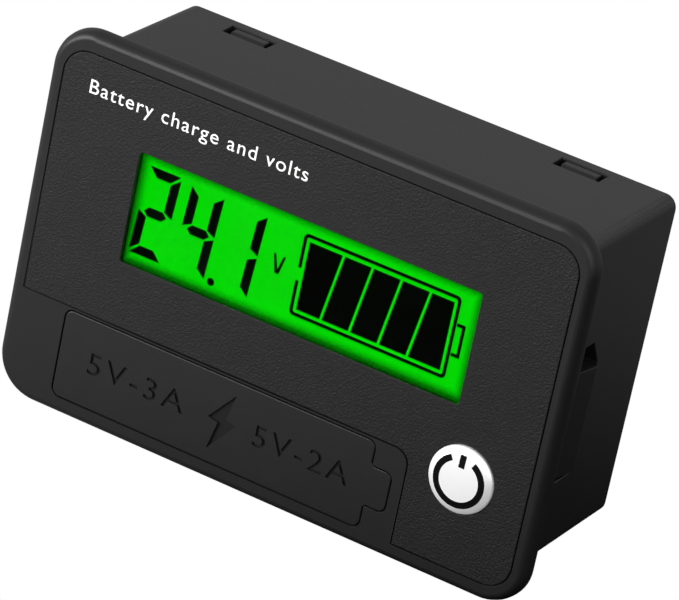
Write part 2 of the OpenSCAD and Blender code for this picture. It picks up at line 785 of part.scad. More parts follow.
// Bent spring strips that grip the wires
module terminal_springs() {
    z = cavity_z0 + 0.45;
    color("silver") for (x = pole_x) side_plate(x - 1.2, x + 1.2)
        polygon([[12, z], [12.4, z], [12.4, z + 7.2], [15.6, z + 7.2], [14.6, z + 1.6], [15, z + 1.6],
            [16.1, z + 7.6], [12, z + 7.6]]);
}

module terminal_pins() {
    color("silver") for (x = pole_x) {
        block([x - 0.45, 13.55, shelf_low - 1.2], [x + 0.45, 14.45, cavity_z0 + 0.3]);
        block([x - 1.5, cavity_y0 + 0.1, cavity_z0 + 0.02], [x + 1.5, cavity_y1 - 0.3, cavity_z0 + 0.4]);
    }
}

module release_button(x) {
    color([0.9, 0.45, 0.1]) {
        block([x - release_w / 2, cavity_y1 - 0.4, release_z - release_h / 2],
            [x + release_w / 2, block_y1 + 1.2, release_z + release_h / 2]);
        block([x - 1.6, cavity_y1 - 1.8, release_z - 1.5], [x + 1.6, cavity_y1 - 0.3, release_z + 1.5]);
    }
}

module left_release_button() {
    release_button(pole_x[0]);
}

module right_release_button() {
    release_button(pole_x[1]);
}

// ---- Panel latches ----

// A spring arm inside the right wall, with a nose that reaches out through the window
module latch() {
    crest = body_w / 2 + latch_proud;
    color([0.17, 0.17, 0.175]) flat_plate(latch_z0, latch_z1) {
        polygon([[latch_out - latch_t, latch_tip_y], [latch_out, latch_tip_y], [latch_out + 1.1, latch_tip_y - 0.3],
            [crest, latch_crest_y - 0.2], [crest, latch_crest_y], [latch_out, latch_crest_y + 0.4],
            [latch_out, latch_root_y], [latch_out - latch_t, latch_root_y]]);
        translate([latch_out - latch_t / 2, latch_root_y]) circle(latch_t / 2);
    }
}

module right_latch() {
    latch();
}

module left_latch() {
    mirror([1, 0, 0]) latch();
}

housing();
back_cover();
face_label();
display_window();
front_polariser();
lcd_front_glass();
lcd_segments();
lcd_seal();
lcd_rear_glass();
rear_polariser();
light_guide();
reflector_film();
backlight_leds();
display_holder();
lcd_pins();
main_board();
meter_chip();
board_resistors();
board_screws();
tact_switch();
switch_plunger();
power_button();
button_symbol();
usb_cover();
cover_anchor();
usb_a_shell();
usb_a_tongue();
usb_a_contacts();
usb_c_shell();
usb_c_tongue();
usb_c_contacts();
power_board();
board_header();
header_pins();
inductor_core();
inductor_winding();
capacitors();
converter_chips();
input_diode();
terminal_block();
terminal_springs();
terminal_pins();
left_release_button();
right_release_button();
left_latch();
right_latch();
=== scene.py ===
import math

import bmesh
import bpy
from mathutils import Matrix, Vector


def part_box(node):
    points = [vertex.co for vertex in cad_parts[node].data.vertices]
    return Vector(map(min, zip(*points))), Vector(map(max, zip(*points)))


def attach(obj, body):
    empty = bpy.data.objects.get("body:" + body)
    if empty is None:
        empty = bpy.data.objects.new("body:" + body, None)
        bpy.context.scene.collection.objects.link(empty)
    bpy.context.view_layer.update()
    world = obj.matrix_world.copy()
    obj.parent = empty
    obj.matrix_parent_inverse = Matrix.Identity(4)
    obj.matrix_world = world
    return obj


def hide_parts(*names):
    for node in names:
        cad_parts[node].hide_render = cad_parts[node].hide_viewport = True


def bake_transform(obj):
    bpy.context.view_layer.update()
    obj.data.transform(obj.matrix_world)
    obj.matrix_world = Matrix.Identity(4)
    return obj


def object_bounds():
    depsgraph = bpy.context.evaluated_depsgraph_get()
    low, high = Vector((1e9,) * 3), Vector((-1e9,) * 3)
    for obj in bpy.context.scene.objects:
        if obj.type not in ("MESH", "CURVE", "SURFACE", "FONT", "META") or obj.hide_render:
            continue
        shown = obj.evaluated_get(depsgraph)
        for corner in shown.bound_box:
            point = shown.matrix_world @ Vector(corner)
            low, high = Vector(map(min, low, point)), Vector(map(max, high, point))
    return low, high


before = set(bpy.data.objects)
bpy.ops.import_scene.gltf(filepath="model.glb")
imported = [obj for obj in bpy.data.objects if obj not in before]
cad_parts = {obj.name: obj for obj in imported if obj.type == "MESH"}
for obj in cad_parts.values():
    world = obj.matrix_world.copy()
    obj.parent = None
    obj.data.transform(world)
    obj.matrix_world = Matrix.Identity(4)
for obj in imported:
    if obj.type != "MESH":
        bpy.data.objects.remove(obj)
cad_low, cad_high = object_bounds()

# ---- Camera ----
# A long lens a good half metre off, above the meter and to its right.
# It is rolled so that the face leans, and everything is in focus.

camera_right = Vector((0.84934775, 0.49247835, 0.18993021))
camera_up = Vector((-0.35773248, 0.27249306, 0.89318252))
camera_back = Vector((0.38811839, -0.82656676, 0.40761687))
camera_place = (0.23295, -0.48476, 0.24260)
lens = bpy.data.cameras.new("camera")
lens.lens = 272.95
lens.sensor_width = 36
lens.sensor_fit = "HORIZONTAL"
lens.dof.use_dof = False
camera = bpy.data.objects.new("camera", lens)
bpy.context.scene.collection.objects.link(camera)
turn = Matrix((camera_right, camera_up, camera_back)).transposed()
camera.matrix_world = Matrix.Translation(camera_place) @ turn.to_4x4()
bpy.context.scene.camera = camera
bpy.context.scene.view_settings.view_transform = "Standard"

# ---- Studio ----
# A plain white floor under even light, with one softbox near by in front on the left and a broad one on
# the right. The floor gives off a soft light in front on the left and behind, as if lamps fell on it.


def colour(code):
    """Linear colour, with alpha, from an sRGB hex code."""
    parts = [int(code[k : k + 2], 16) / 255 for k in (1, 3, 5)]
    return [p / 12.92 if p <= 0.04045 else ((p + 0.055) / 1.055) ** 2.4 for p in parts] + [1.0]


def add(tree, kind, inputs=None, **settings):
    """Adds a node, sets it up and links or fills its inputs."""
    made = tree.nodes.new(kind)
    for name, value in settings.items():
        setattr(made, name, value)
    for name, value in (inputs or {}).items():
        if isinstance(value, bpy.types.NodeSocket):
            tree.links.new(value, made.inputs[name])
        else:
            made.inputs[name].default_value = value
    return made


def empty_material(name):
    """A new material with nothing in its tree."""
    made = bpy.data.materials.new(name)
    made.use_nodes = True
    made.node_tree.nodes.clear()
    return made


floor_reach = 3
floor_mesh = bpy.data.meshes.new("floor")
corners = [(x * floor_reach, y * floor_reach, cad_low.z) for x, y in ((-1, -1), (1, -1), (1, 1), (-1, 1))]
floor_mesh.from_pydata(corners, [], [(0, 1, 2, 3)])
floor = bpy.data.objects.new("floor", floor_mesh)
bpy.context.scene.collection.objects.link(floor)
floor_finish = empty_material("white_paper")
tree = floor_finish.node_tree
place = add(tree, "ShaderNodeTexCoord").outputs["Object"]


def pool(tree, place, way, near, far, strength):
    """Floor light that rises along a direction, from nothing to full between two distances in metres."""
    along = add(tree, "ShaderNodeVectorMath", {0: place, 1: way}, operation="DOT_PRODUCT")
    return add(
        tree,
        "ShaderNodeMapRange",
        {"Value": along.outputs["Value"], "From Min": near, "From Max": far, "To Max": strength},
        interpolation_type="SMOOTHSTEP",
    ).outputs["Result"]


front_pool = pool(tree, place, (-0.6, -0.8, 0.0), -0.015, 0.055, 0.5)
back_pool = pool(tree, place, (0.0, 1.0, 0.0), 0.02, 0.12, 0.2)
pools = add(tree, "ShaderNodeMath", {0: front_pool, 1: back_pool}, operation="ADD")
glow = add(tree, "ShaderNodeEmission", {"Color": colour("#ffffff"), "Strength": pools.outputs[0]})
white = add(tree, "ShaderNodeEmission", {"Color": colour("#ffffff"), "Strength": 1.0})
seen = add(tree, "ShaderNodeLightPath").outputs["Is Camera Ray"]
paper = add(tree, "ShaderNodeMixShader", {0: seen, 1: glow.outputs[0], 2: white.outputs[0]})
add(tree, "ShaderNodeOutputMaterial", {"Surface": paper.outputs[0]})
floor_mesh.materials.append(floor_finish)


meter_middle = Vector((0, 0.005, 0))


def softbox(name, at, size, watts):
    """A square area light aimed at the meter."""
    light = bpy.data.lights.new(name, "AREA")
    light.shape = "SQUARE"
    light.size = size
    light.energy = watts
    made = bpy.data.objects.new(name, light)
    made.location = at
    made.rotation_euler = (meter_middle - Vector(at)).to_track_quat("-Z", "Y").to_euler()
    bpy.context.scene.collection.objects.link(made)


softbox("near_softbox", (-0.47, -0.45, 0.15), 0.5, 7.2)
softbox("broad_softbox", (0.85, -0.7, 0.55), 1.0, 5.2)
world = bpy.data.worlds.new("studio")
world.use_nodes = True
world.node_tree.nodes.clear()
air = add(world.node_tree, "ShaderNodeBackground", {"Color": colour("#ffffff"), "Strength": 0.56})
add(world.node_tree, "ShaderNodeOutputWorld", {"Surface": air.outputs[0]})
bpy.context.scene.world = world

# ---- Housing ----
# One moulding: the flange with its rounded edge, and the box behind it with slots and side windows.
# It is black ABS with a satin skin, and its open edges have the small radius that a mould gives.


def in_mm(tree):
    """The place on the piece, in millimetres."""
    place = add(tree, "ShaderNodeTexCoord").outputs["Object"]
    return add(tree, "ShaderNodeVectorMath", {0: place, "Scale": 1000.0}, operation="SCALE").outputs[0]


def surface(name, shade, other, roughness, grain, depth, metallic=0.0, specular=0.5):
    """A finish that wanders between two shades, with a grain of this size and depth in millimetres."""
    made = empty_material(name)
    tree = made.node_tree
    place = in_mm(tree)
    cloud = add(tree, "ShaderNodeTexNoise", {"Vector": place, "Scale": 0.3, "Detail": 3.0})
    shades = {0: cloud.outputs[0], 6: colour(shade), 7: colour(other)}
    tint = add(tree, "ShaderNodeMix", shades, data_type="RGBA")
    fine = add(tree, "ShaderNodeTexNoise", {"Vector": place, "Scale": 1 / grain, "Detail": 4.0})
    rough = add(
        tree,
        "ShaderNodeMapRange",
        {"Value": fine.outputs[0], "To Min": roughness - 0.05, "To Max": roughness + 0.05},
    )
    bump = add(tree, "ShaderNodeBump", {"Height": fine.outputs[0], "Distance": depth / 1000, "Strength": 1.0})
    shader = add(
        tree,
        "ShaderNodeBsdfPrincipled",
        {
            "Base Color": tint.outputs[2],
            "Roughness": rough.outputs[0],
            "Metallic": metallic,
            "Specular IOR Level": specular,
            "Normal": bump.outputs[0],
        },
    )
    add(tree, "ShaderNodeOutputMaterial", {"Surface": shader.outputs[0]})
    return made


def cad_copy(name):
    """A CAD node's mesh as an editable mesh, with doubles merged and flat facets joined."""
    mesh = bmesh.new()
    mesh.from_mesh(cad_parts[name].data)
    bmesh.ops.remove_doubles(mesh, verts=mesh.verts, dist=1e-6)
    bmesh.ops.dissolve_limit(mesh, angle_limit=0.002, verts=mesh.verts, edges=mesh.edges)
    return mesh


def round_edges(mesh, radius, steps, wanted=None):
    """Rounds the sharp outward edges, or those of them whose middle, in millimetres, is wanted."""
    found = []
    for edge in mesh.edges:
        if len(edge.link_faces) == 2 and edge.calc_face_angle_signed(0) > 0.5:
            middle = (edge.verts[0].co + edge.verts[1].co) * 500
            if wanted is None or wanted(middle):
                found.append(edge)
    if found:
        bmesh.ops.bevel(
            mesh,
            geom=found,
            offset=radius / 1000,
            offset_type="OFFSET",
            segments=steps,
            profile=0.5,
            affect="EDGES",
            clamp_overlap=True,
        )


def piece(mesh, name, body, finish, stands_for=(), smooth=38):
    """Makes an object from an editable mesh, shades it and ties it to its body and CAD nodes."""
    bmesh.ops.remove_doubles(mesh, verts=mesh.verts, dist=1e-7)
    data = bpy.data.meshes.new(name)
    mesh.to_mesh(data)
    mesh.free()
    data.shade_smooth()
    data.set_sharp_from_angle(angle=math.radians(smooth))
    made = bpy.data.objects.new(name, data)
    bpy.context.scene.collection.objects.link(made)
    even = made.modifiers.new("even", "WEIGHTED_NORMAL")
    even.keep_sharp = True
    shown = made.evaluated_get(bpy.context.evaluated_depsgraph_get())
    made.data = bpy.data.meshes.new_from_object(shown)
    made.modifiers.clear()
    made.data.materials.clear()
    made.data.materials.append(finish)
    if body:
        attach(made, body)
    if stands_for:
        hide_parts(*stands_for)
    return made


body_half_w, body_half_h, body_back = 33.4, 20.6, 23.7
hook_slots = (19, 22.5)


def flange_back_edge(p):
    """The flange's outer edge at the back."""
    return abs(p.y) < 0.01 and (abs(p.x) > 34 or abs(p.z) > 22)


def body_rear_edge(p):
    """The outer edge of the box at the rear."""
    return abs(p.y - body_back) < 0.01 and (abs(p.x) > 33 or abs(p.z) > 20.4)


def hook_slot_edge(p):
    """The rims of the slots for the back cover's hooks."""
    return hook_slots[0] < p.y < hook_slots[1] and abs(abs(p.z) - body_half_h) < 0.01


def latch_window_edge(p):
    """The rims of the side windows."""
    return 1 < p.y < 12 and abs(abs(p.x) - body_half_w) < 0.01 and abs(p.z) < 12


def face_pocket_edge(p):
    """The rims of the label's pocket and of the openings inside it."""
    return abs(p.y + 2) < 0.01 and abs(p.x) < 34.5 and abs(p.z) < 21.8


# Moulded black ABS with a fine spark-eroded skin: a deep grey with a broad, soft sheen.
black_abs = surface("black_satin_abs", "#171718", "#1a1a1b", 0.42, 0.22, 0.0012, specular=0.29)
mesh = cad_copy("housing")
round_edges(mesh, 0.16, 2, flange_back_edge)
round_edges(mesh, 0.3, 3, body_rear_edge)
round_edges(mesh, 0.12, 2, hook_slot_edge)
round_edges(mesh, 0.12, 2, latch_window_edge)
round_edges(mesh, 0.05, 1, face_pocket_edge)
piece(mesh, "housing_moulding", "meter", black_abs, ["housing"])

# ---- Back cover ----
# A separate plate that snaps into the rear of the housing. Its four hooks show in the slots.
# Raised plus and minus signs mark the two supply terminals.

mesh = cad_copy("back_cover")
round_edges(mesh, 0.15, 2)
piece(mesh, "back_plate", "meter", black_abs, ["back_cover"])


def slab(mesh, points, front, back):
    """Adds a closed solid with this outline, as (x, z) points in millimetres, between two y planes."""
    ring = [[mesh.verts.new((x / 1000, y / 1000, z / 1000)) for x, z in points] for y in (front, back)]
    mesh.faces.new(ring[0])
    mesh.faces.new(list(reversed(ring[1])))
    for k in range(len(points)):
        n = (k + 1) % len(points)
        mesh.faces.new((ring[0][k], ring[1][k], ring[1][n], ring[0][n]))


def box_points(x0, z0, x1, z1):
    """The corners of a rectangle, in order."""
    return [(x0, z0), (x1, z0), (x1, z1), (x0, z1)]


plus_x, minus_x, sign_z = -14.54, -9.46, 2.2
sign_long, sign_wide = 2.0, 0.5
mesh = bmesh.new()
strokes = (
    (plus_x, sign_wide, sign_long),
    (plus_x, sign_long, sign_wide),
    (minus_x, sign_long, sign_wide),
)
for x, w, h in strokes:
    slab(mesh, box_points(x - w / 2, sign_z - h / 2, x + w / 2, sign_z + h / 2), 23.6, 23.95)
bmesh.ops.recalc_face_normals(mesh, faces=mesh.faces)
round_edges(mesh, 0.08, 2)
piece(mesh, "polarity_marks", "meter", black_abs)

# ---- Side latches ----
# Two moulded spring arms of the same ABS, rooted near the rear inside the housing's side walls.
# Each nose comes out through its window and holds the panel's back edge.

for side in ("left", "right"):
    mesh = cad_copy(side + "_latch")
    round_edges(mesh, 0.1, 2)
    piece(mesh, side + "_latch_arm", side + "_arm", black_abs, [side + "_latch"])

# ---- Face label ----
# A thin plastic film with a leather grain, set flush in its pocket in the flange.
# The title is printed on it in white ink.

# Embossed film: the grain breaks up the light, so the face looks matt with fine speckles.
label_film = surface("grained_film", "#111111", "#181818", 0.48, 0.21, 0.08, specular=0.26)
mesh = cad_copy("face_label")
round_edges(mesh, 0.1, 2, lambda p: p.y < -1.9)
piece(mesh, "label", "meter", label_film, ["face_label"])

capital = bpy.data.curves.new("capital", "FONT")
capital.body = "H"
capital_object = bpy.data.objects.new("capital", capital)
bpy.context.scene.collection.objects.link(capital_object)
bpy.context.view_layer.update()
capital_height = capital_object.dimensions.y
bpy.data.objects.remove(capital_object)


def lettering(mesh, text, left, right, base, height, front, back, spacing):
    """Adds closed words to a mesh, fitted between two sides and to a capital height, in millimetres."""
    curve = bpy.data.curves.new(text, "FONT")
    curve.body = text
    curve.space_character = spacing
    curve.extrude = 0.5
    curve.resolution_u = 6
    words = bpy.data.objects.new(text, curve)
    bpy.context.scene.collection.objects.link(words)
    bpy.context.view_layer.update()
    data = bpy.data.meshes.new_from_object(words.evaluated_get(bpy.context.evaluated_depsgraph_get()))
    low = min(v.co.x for v in data.vertices)
    high = max(v.co.x for v in data.vertices)
    tall = height / capital_height
    wide = (right - left) / (high - low)
    for v in data.vertices:
        x, y, z = v.co
        depth = front if z > 0 else back
        v.co = Vector((left + (x - low) * wide, depth, base + y * tall)) / 1000
    mesh.from_mesh(data)
    bmesh.ops.remove_doubles(mesh, verts=mesh.verts, dist=1e-7)
    bmesh.ops.recalc_face_normals(mesh, faces=mesh.faces)
    bpy.data.objects.remove(words)


# Screen-printed ink: a flat, even white.
white_ink = surface("white_ink", "#f2f2f2", "#fafafa", 0.5, 0.1, 0.001)
title_left, title_right, title_base, title_height = -30.4, -0.75, 16.65, 1.72
mesh = bmesh.new()
lettering(
    mesh,
    "Battery charge and volts",
    title_left,
    title_right,
    title_base,
    title_height,
    front=-2.02,
    back=-1.95,
    spacing=1.13,
)
piece(mesh, "title", "meter", white_ink, smooth=30)

# ---- Display ----
# A coated clear film in the label, two glasses with dark segments between them, and a green light guide
# behind. The layers are bonded, so they hardly bend light.

view_x, view_z = 0.5, 5.1
# Painted shade on the front glass: it starts at the inner distance from the view's middle and is full at the
# outer one, in millimetres.
painted_shade_x, painted_shade_z = (21.4, 23.1), (5.6, 7.15)


def from_middle(tree, axis, middle, inner, outer):
    """Nothing up to the inner distance from the middle, in millimetres, and one from the outer distance."""
    parts = add(tree, "ShaderNodeSeparateXYZ", {"Vector": in_mm(tree)})
    off = add(tree, "ShaderNodeMath", {0: parts.outputs[axis], 1: middle}, operation="SUBTRACT")
    far = add(tree, "ShaderNodeMath", {0: off.outputs[0]}, operation="ABSOLUTE")
    return add(
        tree,
        "ShaderNodeMapRange",
        {"Value": far.outputs[0], "From Min": inner, "From Max": outer},
        interpolation_type="SMOOTHSTEP",
    ).outputs[0]


def clear(name, shade, bend, edge=None):
    """A transparent finish with a faint unevenness, which turns to a painted shade of the edge colour near
    the window's rim.
    """
    made = empty_material(name)
    tree = made.node_tree
    wave = add(tree, "ShaderNodeTexNoise", {"Vector": in_mm(tree), "Scale": 0.15, "Detail": 1.0})
    tint = add(
        tree,
        "ShaderNodeMix",
        {0: wave.outputs[0], 6: colour(shade), 7: [min(1.0, 1.02 * c) for c in colour(shade)]},
        data_type="RGBA",
    )
    # Painted shade: near the window's rim the tint turns to the darker edge colour.
    if edge:
        across = from_middle(tree, "X", view_x, *painted_shade_x)
        upright = from_middle(tree, "Z", view_z, *painted_shade_z)
        either = add(tree, "ShaderNodeMath", {0: across, 1: upright}, operation="MAXIMUM")
        tint = add(
            tree,
            "ShaderNodeMix",
            {0: either.outputs[0], 6: tint.outputs[2], 7: colour(edge)},
            data_type="RGBA",
        )
    shader = add(
        tree,
        "ShaderNodeBsdfPrincipled",
        {"Base Color": tint.outputs[2], "Roughness": 0.0, "IOR": bend, "Transmission Weight": 1.0},
    )
    add(tree, "ShaderNodeOutputMaterial", {"Surface": shader.outputs[0]})
    return made


def dress(finish, name):
    """Gives its finish to a CAD node that shows as it is."""
    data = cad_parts[name].data
    data.materials.clear()
    data.materials.append(finish)


# Clear film with an anti-glare coat: only a faint gloss shows.
dress(clear("coated_clear_film", "#fafffa", 1.06), "display_window")
# Float glass under a polarising film: clear, with a painted shade that darkens it towards the rim, where less
# light gets out.
front_glass_painted_shade = clear("glass_with_front_polariser_and_painted_rim_shade", "#f6faf6", 1.02, edge="#566456")
# The same glass behind the segments, without the painted rim shade.
rear_finish = clear("glass_with_rear_polariser", "#f6faf6", 1.02)
glass_thick = 0.78
glasses = (
    ("front_glass", -1.5, front_glass_painted_shade, ["lcd_front_glass", "front_polariser"]),
    ("rear_glass", -0.58, rear_finish, ["lcd_rear_glass", "rear_polariser"]),
)
for name, front, finish, nodes in glasses:
    glass_low, glass_high = (corner * 1000 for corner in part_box(nodes[0]))
    mesh = bmesh.new()
    slab(mesh, box_points(glass_low.x, glass_low.z, glass_high.x, glass_high.z), front, front + glass_thick)
    bmesh.ops.recalc_face_normals(mesh, faces=mesh.faces)
    round_edges(mesh, 0.08, 2)
    piece(mesh, name, "meter", finish, nodes)
# Liquid crystal that is switched on: a flat black that reflects nothing.
dress(surface("black_segments", "#010201", "#020302", 0.6, 0.2, 0.0005, specular=0.0), "lcd_segments")
# Cured epoxy, as clear as the glass.
dress(clear("clear_cured_seal", "#eef2ee", 1.02), "lcd_seal")

# Edge-lit acrylic: it glows an even green towards the front and looks almost black from behind.
guide_finish = empty_material("lit_green_acrylic")
tree = guide_finish.node_tree
patch = add(tree, "ShaderNodeTexNoise", {"Vector": in_mm(tree), "Scale": 0.12, "Detail": 1.0})
uneven = add(tree, "ShaderNodeMapRange", {"Value": patch.outputs[0], "To Min": 0.94, "To Max": 1.06})
normal = add(tree, "ShaderNodeNewGeometry").outputs["Normal"]
facing = add(tree, "ShaderNodeSeparateXYZ", {"Vector": normal})
front_only = add(
    tree,
    "ShaderNodeMapRange",
    {"Value": facing.outputs["Y"], "From Min": -0.9, "From Max": -0.5, "To Min": 1.0, "To Max": 0.05},
)
both = {0: uneven.outputs[0], 1: front_only.outputs[0]}
strength = add(tree, "ShaderNodeMath", both, operation="MULTIPLY")
shader = add(
    tree,
    "ShaderNodeBsdfPrincipled",
    {
        "Base Color": colour("#021602"),
        "Roughness": 0.5,
        "Specular IOR Level": 0.05,
        "Emission Color": [0.0, 0.72, 0.0, 1.0],
        "Emission Strength": strength.outputs[0],
    },
)
add(tree, "ShaderNodeOutputMaterial", {"Surface": shader.outputs[0]})
dress(guide_finish, "light_guide")

# ---- Power button ----
# A turned metal cap with a shallow dome and a bright chamfer. A rim behind the face keeps it in its hole.
# Its power sign is filled with black enamel, nearly flush with the dome.

button_x, button_z = 25.8, -10.4
dome_front, dome_fall, dome_r = -2.75, 0.12, 3.35
cap_r, rim_r, stem_r, stem_end = 4.15, 4.9, 1.4, 1.95


def dome(radius):
    """How far back the cap's front lies at this radius, in millimetres."""
    return dome_front + dome_fall * (radius / dome_r) ** 2


def turned(mesh, points):
    """Adds a closed solid turned about the button's line, from (radius, y) points in millimetres."""
    steps = 96
    rings = []
    for radius, y in points:
        if radius == 0:
            rings.append([mesh.verts.new((button_x / 1000, y / 1000, button_z / 1000))] * steps)
            continue
        ring = []
        for k in range(steps):
            a = 2 * math.pi * k / steps
            x = button_x + radius * math.cos(a)
            z = button_z + radius * math.sin(a)
            ring.append(mesh.verts.new((x / 1000, y / 1000, z / 1000)))
        rings.append(ring)
    for a, b in zip(rings, rings[1:]):
        for k in range(steps):
            n = (k + 1) % steps
            corners = [a[k], a[n], b[n], b[k]]
            mesh.faces.new([v for i, v in enumerate(corners) if v not in corners[:i]])


# Metal under a pale satin lacquer: nearly white face on, with a soft mirror on the chamfer.
silver_cap = surface("satin_silver", "#fbfbfb", "#ffffff", 0.3, 0.15, 0.0008, metallic=0.35)
face = [(3.25 * k / 8, dome(3.25 * k / 8)) for k in range(9)]
chamfer = [(3.33, -2.61), (3.42, -2.575), (4.0, -2.24), (4.1, -2.17)]
side = [(cap_r, -2.05), (cap_r, 0.6)]
rim = [(rim_r - 0.05, 0.6), (rim_r, 0.65), (rim_r, 1.15), (rim_r - 0.05, 1.2)]
stem = [(stem_r, 1.2), (stem_r, stem_end), (0, stem_end)]
mesh = bmesh.new()
turned(mesh, face + chamfer + side + rim + stem)
bmesh.ops.recalc_face_normals(mesh, faces=mesh.faces)
piece(mesh, "button_cap_turned", "button_cap", silver_cap, ["power_button"], smooth=50)

# Baked enamel in the cut sign: a dead black against the white cap.
symbol_black = surface("symbol_enamel", "#020202", "#040404", 0.5, 0.1, 0.0005, specular=0.1)


def shell_on_dome(mesh, grid, proud, deep):
    """Adds a closed plate over the dome from a grid of (x, z) points about the button's middle."""
    layers = []
    for lift in (-proud, deep):
        rows = []
        for row in grid:
            made = []
            for x, z in row:
                y = dome(math.hypot(x, z)) + lift
                made.append(mesh.verts.new(((button_x + x) / 1000, y / 1000, (button_z + z) / 1000)))
            rows.append(made)
        layers.append(rows)
    wide = len(grid[0])
    for rows in layers:
        for a, b in zip(rows, rows[1:]):
            for k in range(wide - 1):
                mesh.faces.new((a[k], a[k + 1], b[k + 1], b[k]))
    top, low = layers
    edge = top[0] + [r[-1] for r in top[1:]] + top[-1][-2::-1] + [r[0] for r in top[-2:0:-1]]
    under = low[0] + [r[-1] for r in low[1:]] + low[-1][-2::-1] + [r[0] for r in low[-2:0:-1]]
    for k in range(len(edge)):
        n = (k + 1) % len(edge)
        mesh.faces.new((edge[k], edge[n], under[n], under[k]))


sign_inner, sign_outer, sign_open = 2.52, 3.3, 29
sign_proud, sign_deep = 0.012, 0.1
bar_low, sign_steps = 1.7, 72
mesh = bmesh.new()
ring = []
for k in range(sign_steps + 1):
    a = math.radians(sign_open + (360 - 2 * sign_open) * k / sign_steps)
    radii = [sign_inner + (sign_outer - sign_inner) * j / 4 for j in range(5)]
    ring.append([(r * math.sin(a), r * math.cos(a)) for r in radii])
shell_on_dome(mesh, ring, sign_proud, sign_deep)
bar_x = [(sign_outer - sign_inner) * (j - 2) / 4 for j in range(5)]
bar = [[(x, bar_low + (sign_outer - bar_low) * k / 8) for x in bar_x] for k in range(9)]
shell_on_dome(mesh, bar, sign_proud, sign_deep)
bmesh.ops.recalc_face_normals(mesh, faces=mesh.faces)
piece(mesh, "power_sign", "button_cap", symbol_black, ["button_symbol"])

# ---- Port cover ----
# One moulding of silicone rubber: a fixed end strip with a foot behind the wall, a thin web with close edge
# loops across it, and the flap with its two plugs, its pull tab, and sunk words and a sunk lightning sign.

cover_left, cover_right, cover_low, cover_top = -28, 14.5, -21.5, -10.35
tab_right, tab_low, tab_top = 17.3, -18.4, -13.4
cover_front, cover_back, cover_middle = -2.0, -0.7, -15.85
fold_left, fold_right = -27.3, -26.6


def cover_outline():
    """The cover's outline with its pull tab, as (x, z) points, anticlockwise as seen from the front."""
    corner_r, tab_r, inner_r, steps = 1, 0.9, 0.5, 6
    corners = [
        (cover_left + corner_r, cover_low + corner_r, corner_r, 180),
        (cover_right - corner_r, cover_low + corner_r, corner_r, 270),
        (cover_right + inner_r, tab_low - inner_r, -inner_r, 90),
        (tab_right - tab_r, tab_low + tab_r, tab_r, 270),
        (tab_right - tab_r, tab_top - tab_r, tab_r, 0),
        (cover_right + inner_r, tab_top + inner_r, -inner_r, 180),
        (cover_right - corner_r, cover_top - corner_r, corner_r, 0),
        (cover_left + corner_r, cover_top - corner_r, corner_r, 90),
    ]
    points = []
    for cx, cz, r, start in corners:
        for k in range(steps + 1):
            share = k / steps
            a = math.radians(start + 90 * share) if r > 0 else math.radians(start + 90 - 90 * share)
            points.append((cx + abs(r) * math.cos(a), cz + abs(r) * math.sin(a)))
    return points


def solid(mesh, name):
    """A plain object to cut with or to cut into."""
    bmesh.ops.recalc_face_normals(mesh, faces=mesh.faces)
    data = bpy.data.meshes.new(name)
    mesh.to_mesh(data)
    mesh.free()
    made = bpy.data.objects.new(name, data)
    bpy.context.scene.collection.objects.link(made)
    return made


def combine(target, mesh, name, how):
    """Cuts a mesh out of the target or joins it on."""
    tool = solid(mesh, name)
    step = target.modifiers.new("combine", "BOOLEAN")
    step.object = tool
    step.operation = how
    step.solver = "EXACT"
    shown = target.evaluated_get(bpy.context.evaluated_depsgraph_get())
    target.data = bpy.data.meshes.new_from_object(shown)
    target.modifiers.clear()
    bpy.data.objects.remove(tool)


def plug(mesh, x, w, h, r):
    """Adds a shallow plug with round corners, about a place on the cover's middle line."""
    steps = 8
    points = []
    for sx, sz, start in ((1, 1, 0), (-1, 1, 90), (-1, -1, 180), (1, -1, 270)):
        middle_x = x + sx * (w / 2 - r)
        middle_z = cover_middle + sz * (h / 2 - r)
        for k in range(steps + 1):
            a = math.radians(start + 90 * k / steps)
            points.append((middle_x + r * math.cos(a), middle_z + r * math.sin(a)))
    slab(mesh, points, -0.75, 0.6)


mesh = bmesh.new()
slab(mesh, cover_outline(), cover_front, cover_back)
bmesh.ops.recalc_face_normals(mesh, faces=mesh.faces)
round_edges(mesh, 0.14, 3, lambda p: p.y < -1.95)
cover = solid(mesh, "cover")

web_front, sign_floor, word_floor, cut_front = -1.7, -1.72, -1.75, -2.5
mesh = bmesh.new()
slab(mesh, box_points(fold_left, -30, fold_right, 0), web_front, 2)
combine(cover, mesh, "groove", "DIFFERENCE")
mesh = bmesh.new()
bolt = [(-4.0, -12.0), (-7.15, -15.9), (-5.75, -16.2), (-6.6, -19.85), (-3.4, -15.75), (-4.75, -15.4)]
slab(mesh, bolt, cut_front, sign_floor)
combine(cover, mesh, "bolt", "DIFFERENCE")
word_base, word_height = -17.1, 2.7
for text, word_left, word_right in (("5V-3A", -23.9, -10.5), ("5V-2A", -0.9, 12.0)):
    mesh = bmesh.new()
    lettering(mesh, text, word_left, word_right, word_base, word_height, cut_front, word_floor, spacing=1.2)
    combine(cover, mesh, text, "DIFFERENCE")
mesh = bmesh.new()
plug(mesh, 6, 11.4, 4, 0.6)
plug(mesh, -16.9, 7.4, 1.9, 0.94)
slab(mesh, box_points(-27.9, -18.2, -27.35, -13.4), -0.8, 0.6)
combine(cover, mesh, "plugs", "UNION")
mesh = bmesh.new()
slab(mesh, box_points(-28.8, -18.6, -26.2, -13.0), 0.45, 1.4)
combine(cover, mesh, "foot", "UNION")

mesh = bmesh.new()
mesh.from_mesh(cover.data)
bpy.data.objects.remove(cover)
for k in range(9):
    cut = Vector(((fold_left - 0.05 + 0.1 * k) / 1000, 0, 0))
    parts = list(mesh.verts) + list(mesh.edges) + list(mesh.faces)
    bmesh.ops.bisect_plane(mesh, geom=parts, plane_co=cut, plane_no=(1, 0, 0))
